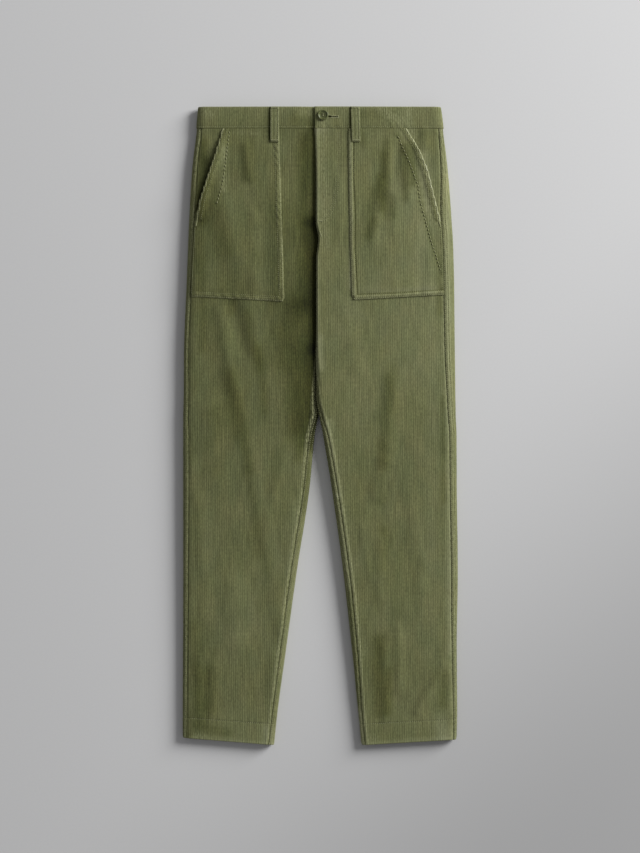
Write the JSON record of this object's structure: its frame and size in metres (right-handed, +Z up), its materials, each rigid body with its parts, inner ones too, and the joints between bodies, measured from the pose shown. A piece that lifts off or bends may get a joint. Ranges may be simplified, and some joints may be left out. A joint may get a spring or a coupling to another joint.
{
  "type": "corduroy trousers laid flat",
  "caption": "Straight, tapered corduroy trousers laid flat, front up, with slanted patch pockets, belt loops, a button waistband and turned-up hems.",
  "frame": {"origin": "middle of the bounding box, on the surface that the trousers lie on", "axes": "+Z up from the surface, through the front of the trousers; +Y towards the waist; +X towards the wearer's left leg"},
  "size_m": [0.4536, 1.053, 0.0259],
  "materials": {
    "corduroy": "wide-wale cotton corduroy, soft cut pile, dyed olive green",
    "button": "moulded button dyed to match, soft gloss"
  },
  "bodies": {
    "root": {"front_right": "corduroy", "front_left": "corduroy", "back_right": "corduroy", "back_left": "corduroy", "waistband_right": "corduroy", "waistband_left": "corduroy", "pocket_right": "corduroy", "pocket_left": "corduroy", "belt_loop_front_right": "corduroy", "belt_loop_front_left": "corduroy", "belt_loop_back_right": "corduroy", "belt_loop_back_centre": "corduroy", "belt_loop_back_left": "corduroy", "button": "button"}
  },
  "joints": []
}
